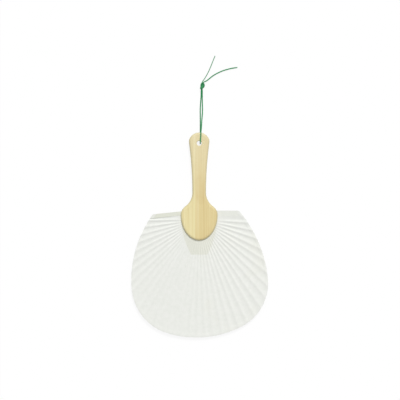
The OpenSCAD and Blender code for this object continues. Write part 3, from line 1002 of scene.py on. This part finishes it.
def finishTree(tree, start, end, shape):
    real = addNode(tree, "GeometryNodeRealizeInstances", Geometry=shape).outputs[0]
    paint = start.outputs["Material"]
    painted = addNode(tree, "GeometryNodeSetMaterial", Geometry=real, Material=paint).outputs[0]
    tree.links.new(painted, end.inputs[0])


def bindingNodes():
    tree = bpy.data.node_groups.new("foldedStrip", "GeometryNodeTree")
    tree.interface.new_socket("Geometry", in_out="INPUT", socket_type="NodeSocketGeometry")
    tree.interface.new_socket("Thickness", in_out="INPUT", socket_type="NodeSocketFloat")
    tree.interface.new_socket("Material", in_out="INPUT", socket_type="NodeSocketMaterial")
    tree.interface.new_socket("Geometry", in_out="OUTPUT", socket_type="NodeSocketGeometry")
    start, end = tree.nodes.new("NodeGroupInput"), tree.nodes.new("NodeGroupOutput")
    flat = start.outputs["Geometry"]
    raised = addNode(tree, "GeometryNodeExtrudeMesh", {"mode": "FACES"}, Mesh=flat, Individual=False)
    tree.links.new(start.outputs["Thickness"], raised.inputs["Offset Scale"])
    under = addNode(tree, "GeometryNodeFlipFaces", Mesh=flat).outputs[0]
    both = tree.nodes.new("GeometryNodeJoinGeometry")
    tree.links.new(raised.outputs["Mesh"], both.inputs[0])
    tree.links.new(under, both.inputs[0])
    closed = addNode(tree, "GeometryNodeMergeByDistance", Geometry=both.outputs[0], Distance=1e-6)
    finishTree(tree, start, end, closed.outputs[0])
    return tree


def makeBinding():
    points, faces, over = [], [], []
    lift = strip["clear"] + leaf["paper"]
    heights = [lift - down for down in strip["pressed"]] + [lift] * len(strip["rows"])
    scale, much = strip["wander"]
    count = 2 * len(heights) + 1
    for column in columns:
        bearing = direction(column[1])
        length = (column[1] - column[0]).length
        trim = rimTrim(bearing)
        wide = strip["wide"] + much * noise.noise(Vector((bearing * scale, 8.0, 0)))
        edge, end = 1 - (wide + trim) / length, 1 - trim / length
        shares = [edge + t * (end - edge) for t in strip["rows"]] + [end - strip["lastRow"] / length, end]
        front = [sheetPoint(column, v, 1) + Vector((0, 0, h)) for v, h in zip(shares, heights)]
        back = [sheetPoint(column, v, -1) - Vector((0, 0, h)) for v, h in zip(shares, heights)]
        points += front + [(front[-1] + back[-1]) / 2] + back[::-1]
        # painted slat shade on the strip, kept on the vertices
        over += [strip["slatShadeShare"] * column[3]] * count
    for c in range(len(columns) - 1):
        for k in range(count - 1):
            a = count * c + k
            faces.append((a, a + 1, a + count + 1, a + count))
    seed = meshObject("rimStrip", points, faces, backSheet)
    addFloats(seed, "paintedSlatShade", over)
    work = bmesh.new()
    work.from_mesh(seed.data)
    work.faces.ensure_lookup_table()
    work.normal_update()
    if work.faces[0].normal.z < 0:  # the strip's first faces lie on the front and look up
        bmesh.ops.reverse_faces(work, faces=work.faces[:])
    work.to_mesh(seed.data)
    work.free()
    return throughNodes(seed, bindingNodes(), bindingTree, backSheet, "rimBinding")


binding = makeBinding()
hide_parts("rim_binding")
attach(binding, fanBody)
print("binding made")


ribTree = {
    "Root Width": leaf["ribRootWide"] * mm,
    "Tip Width": leaf["ribTipWide"] * mm,
    "Thickness": leaf["ribThick"] * mm,
    "Rounding": 0.12 * mm,
}


def ribNodes():
    tree = bpy.data.node_groups.new("splitRibs", "GeometryNodeTree")
    tree.interface.new_socket("Geometry", in_out="INPUT", socket_type="NodeSocketGeometry")
    for key in ribTree:
        tree.interface.new_socket(key, in_out="INPUT", socket_type="NodeSocketFloat")
    tree.interface.new_socket("Material", in_out="INPUT", socket_type="NodeSocketMaterial")
    tree.interface.new_socket("Geometry", in_out="OUTPUT", socket_type="NodeSocketGeometry")
    start, end = tree.nodes.new("NodeGroupInput"), tree.nodes.new("NodeGroupOutput")
    slip = addNode(tree, "GeometryNodeMeshCube", i0=(1, 1, 1), i1=4, i2=14, i3=3).outputs[0]
    place = addNode(tree, "GeometryNodeInputPosition").outputs[0]
    apart = addNode(tree, "ShaderNodeSeparateXYZ", i0=place)
    along = mathNode(tree, "ADD", apart.outputs[1], 0.5)
    wide = addNode(tree, "ShaderNodeMapRange", i0=along, i1=0.0, i2=1.0,
                   i3=start.outputs["Root Width"], i4=start.outputs["Tip Width"]).outputs[0]
    edge = mathNode(tree, "ABSOLUTE", apart.outputs[0])
    outer = addNode(tree, "ShaderNodeMapRange", i0=edge, i1=0.3, i2=0.5, i3=0.0, i4=2.0).outputs[0]
    drop = mathNode(tree, "MULTIPLY", outer, start.outputs["Rounding"])
    tall = mathNode(tree, "SUBTRACT", start.outputs["Thickness"], drop)
    x = mathNode(tree, "MULTIPLY", apart.outputs[0], wide)
    z = mathNode(tree, "MULTIPLY", apart.outputs[2], tall)
    made = addNode(tree, "ShaderNodeCombineXYZ", i0=x, i1=along, i2=z).outputs[0]
    shaped = addNode(tree, "GeometryNodeSetPosition", Geometry=slip, Position=made).outputs[0]
    kind, floats = "GeometryNodeInputNamedAttribute", {"data_type": "FLOAT"}
    turned, long = (addNode(tree, kind, floats, Name=key).outputs[0] for key in ("turn", "long"))
    rotation = addNode(tree, "ShaderNodeCombineXYZ", i2=turned).outputs[0]
    size = addNode(tree, "ShaderNodeCombineXYZ", i0=1.0, i1=long, i2=1.0).outputs[0]
    spread = addNode(tree, "GeometryNodeInstanceOnPoints", Points=start.outputs["Geometry"], Instance=shaped,
                     Rotation=rotation, Scale=size).outputs[0]
    finishTree(tree, start, end, spread)
    return tree


def makeRibs():
    points, turns, longs = [], [], []
    for a in ribAngles:
        root = leaf["ribRoot"] * towards(a)
        points.append((root.x, root.y, leaf["ribLow"] + leaf["ribThick"] / 2))
        turns.append(math.radians(a + 180))
        longs.append((reach(a) - leaf["endGap"] - leaf["ribRoot"]) * mm)
    seeds = meshObject("ribSeeds", points, [], splitBamboo)
    addFloats(seeds, "turn", turns)
    addFloats(seeds, "long", longs)
    return throughNodes(seeds, ribNodes(), ribTree, splitBamboo, "ribs")


ribs = makeRibs()
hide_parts(*[f"rib_{i + 1:02d}" for i in range(leaf["ribs"])])
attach(ribs, fanBody)
for key in ("end_slat_right", "end_slat_left"):
    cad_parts[key].data.materials.clear()
    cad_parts[key].data.materials.append(splitBamboo)
print("ribs made")


light = {
    "from": (0.28, 0.96),  # where the key light comes from, seen from above
    "high": 44.0,
    "strength": 2.12,
    "soft": 14.0,
    "sky": 0.514,
    "shadowShare": 0.12,  # how much of the floor's own shading the camera sees
    "floor": 1.003,  # the rest of what it sees there: white
    "floorSize": 8000,  # mm
    "floorAt": -0.12,
    "floorPlain": (0.86, 0.86, 0.86, 1),  # what it reflects onto the fan
}


def raySeen(tree):
    ray = addNode(tree, "ShaderNodeLightPath")
    mirrored = mathNode(tree, "MAXIMUM", ray.outputs["Is Glossy Ray"], ray.outputs["Is Transmission Ray"])
    return mathNode(tree, "MAXIMUM", ray.outputs["Is Camera Ray"], mirrored)


def makeFloor():
    material = bpy.data.materials.new("floorWhite")
    material.use_nodes = True
    tree = material.node_tree
    tree.nodes.remove(tree.nodes["Principled BSDF"])
    plain = addNode(tree, "ShaderNodeBsdfDiffuse", i0=light["floorPlain"]).outputs[0]
    lit = addNode(tree, "ShaderNodeBsdfDiffuse", i0=(1, 1, 1, 1)).outputs[0]
    glow = addNode(tree, "ShaderNodeEmission", i0=(1, 1, 1, 1), i1=light["floor"]).outputs[0]
    shown = addNode(tree, "ShaderNodeMixShader", i0=light["shadowShare"], i1=glow, i2=lit).outputs[0]
    seen = raySeen(tree)
    both = addNode(tree, "ShaderNodeMixShader", i0=seen, i1=plain, i2=shown).outputs[0]
    tree.links.new(both, tree.nodes["Material Output"].inputs[0])
    half, z = light["floorSize"] / 2, light["floorAt"]
    corners = [(-half, -half, z), (half, -half, z), (half, half, z), (-half, half, z)]
    floor = meshObject("floor", corners, [(0, 1, 2, 3)], material, False)


def makeLight():
    data = bpy.data.lights.new("key", "SUN")
    data.energy = light["strength"]
    data.angle = math.radians(light["soft"])
    key = bpy.data.objects.new("key", data)
    high = math.radians(light["high"])
    level = math.cos(high)
    source = Vector((light["from"][0] * level, light["from"][1] * level, math.sin(high)))
    key.rotation_euler = source.to_track_quat("Z", "Y").to_euler()
    scene.collection.objects.link(key)
    world = bpy.data.worlds.new("studio")
    world.use_nodes = True
    scene.world = world
    tree = world.node_tree
    back = tree.nodes["Background"]
    back.inputs[0].default_value = (1, 1, 1, 1)
    seen = raySeen(tree)
    strength = addNode(tree, "ShaderNodeMapRange", i0=seen, i1=0.0, i2=1.0, i3=light["sky"], i4=1.0)
    tree.links.new(strength.outputs[0], back.inputs[1])


makeFloor()
makeLight()
scene.view_settings.view_transform = "Standard"
print("floor and light made")
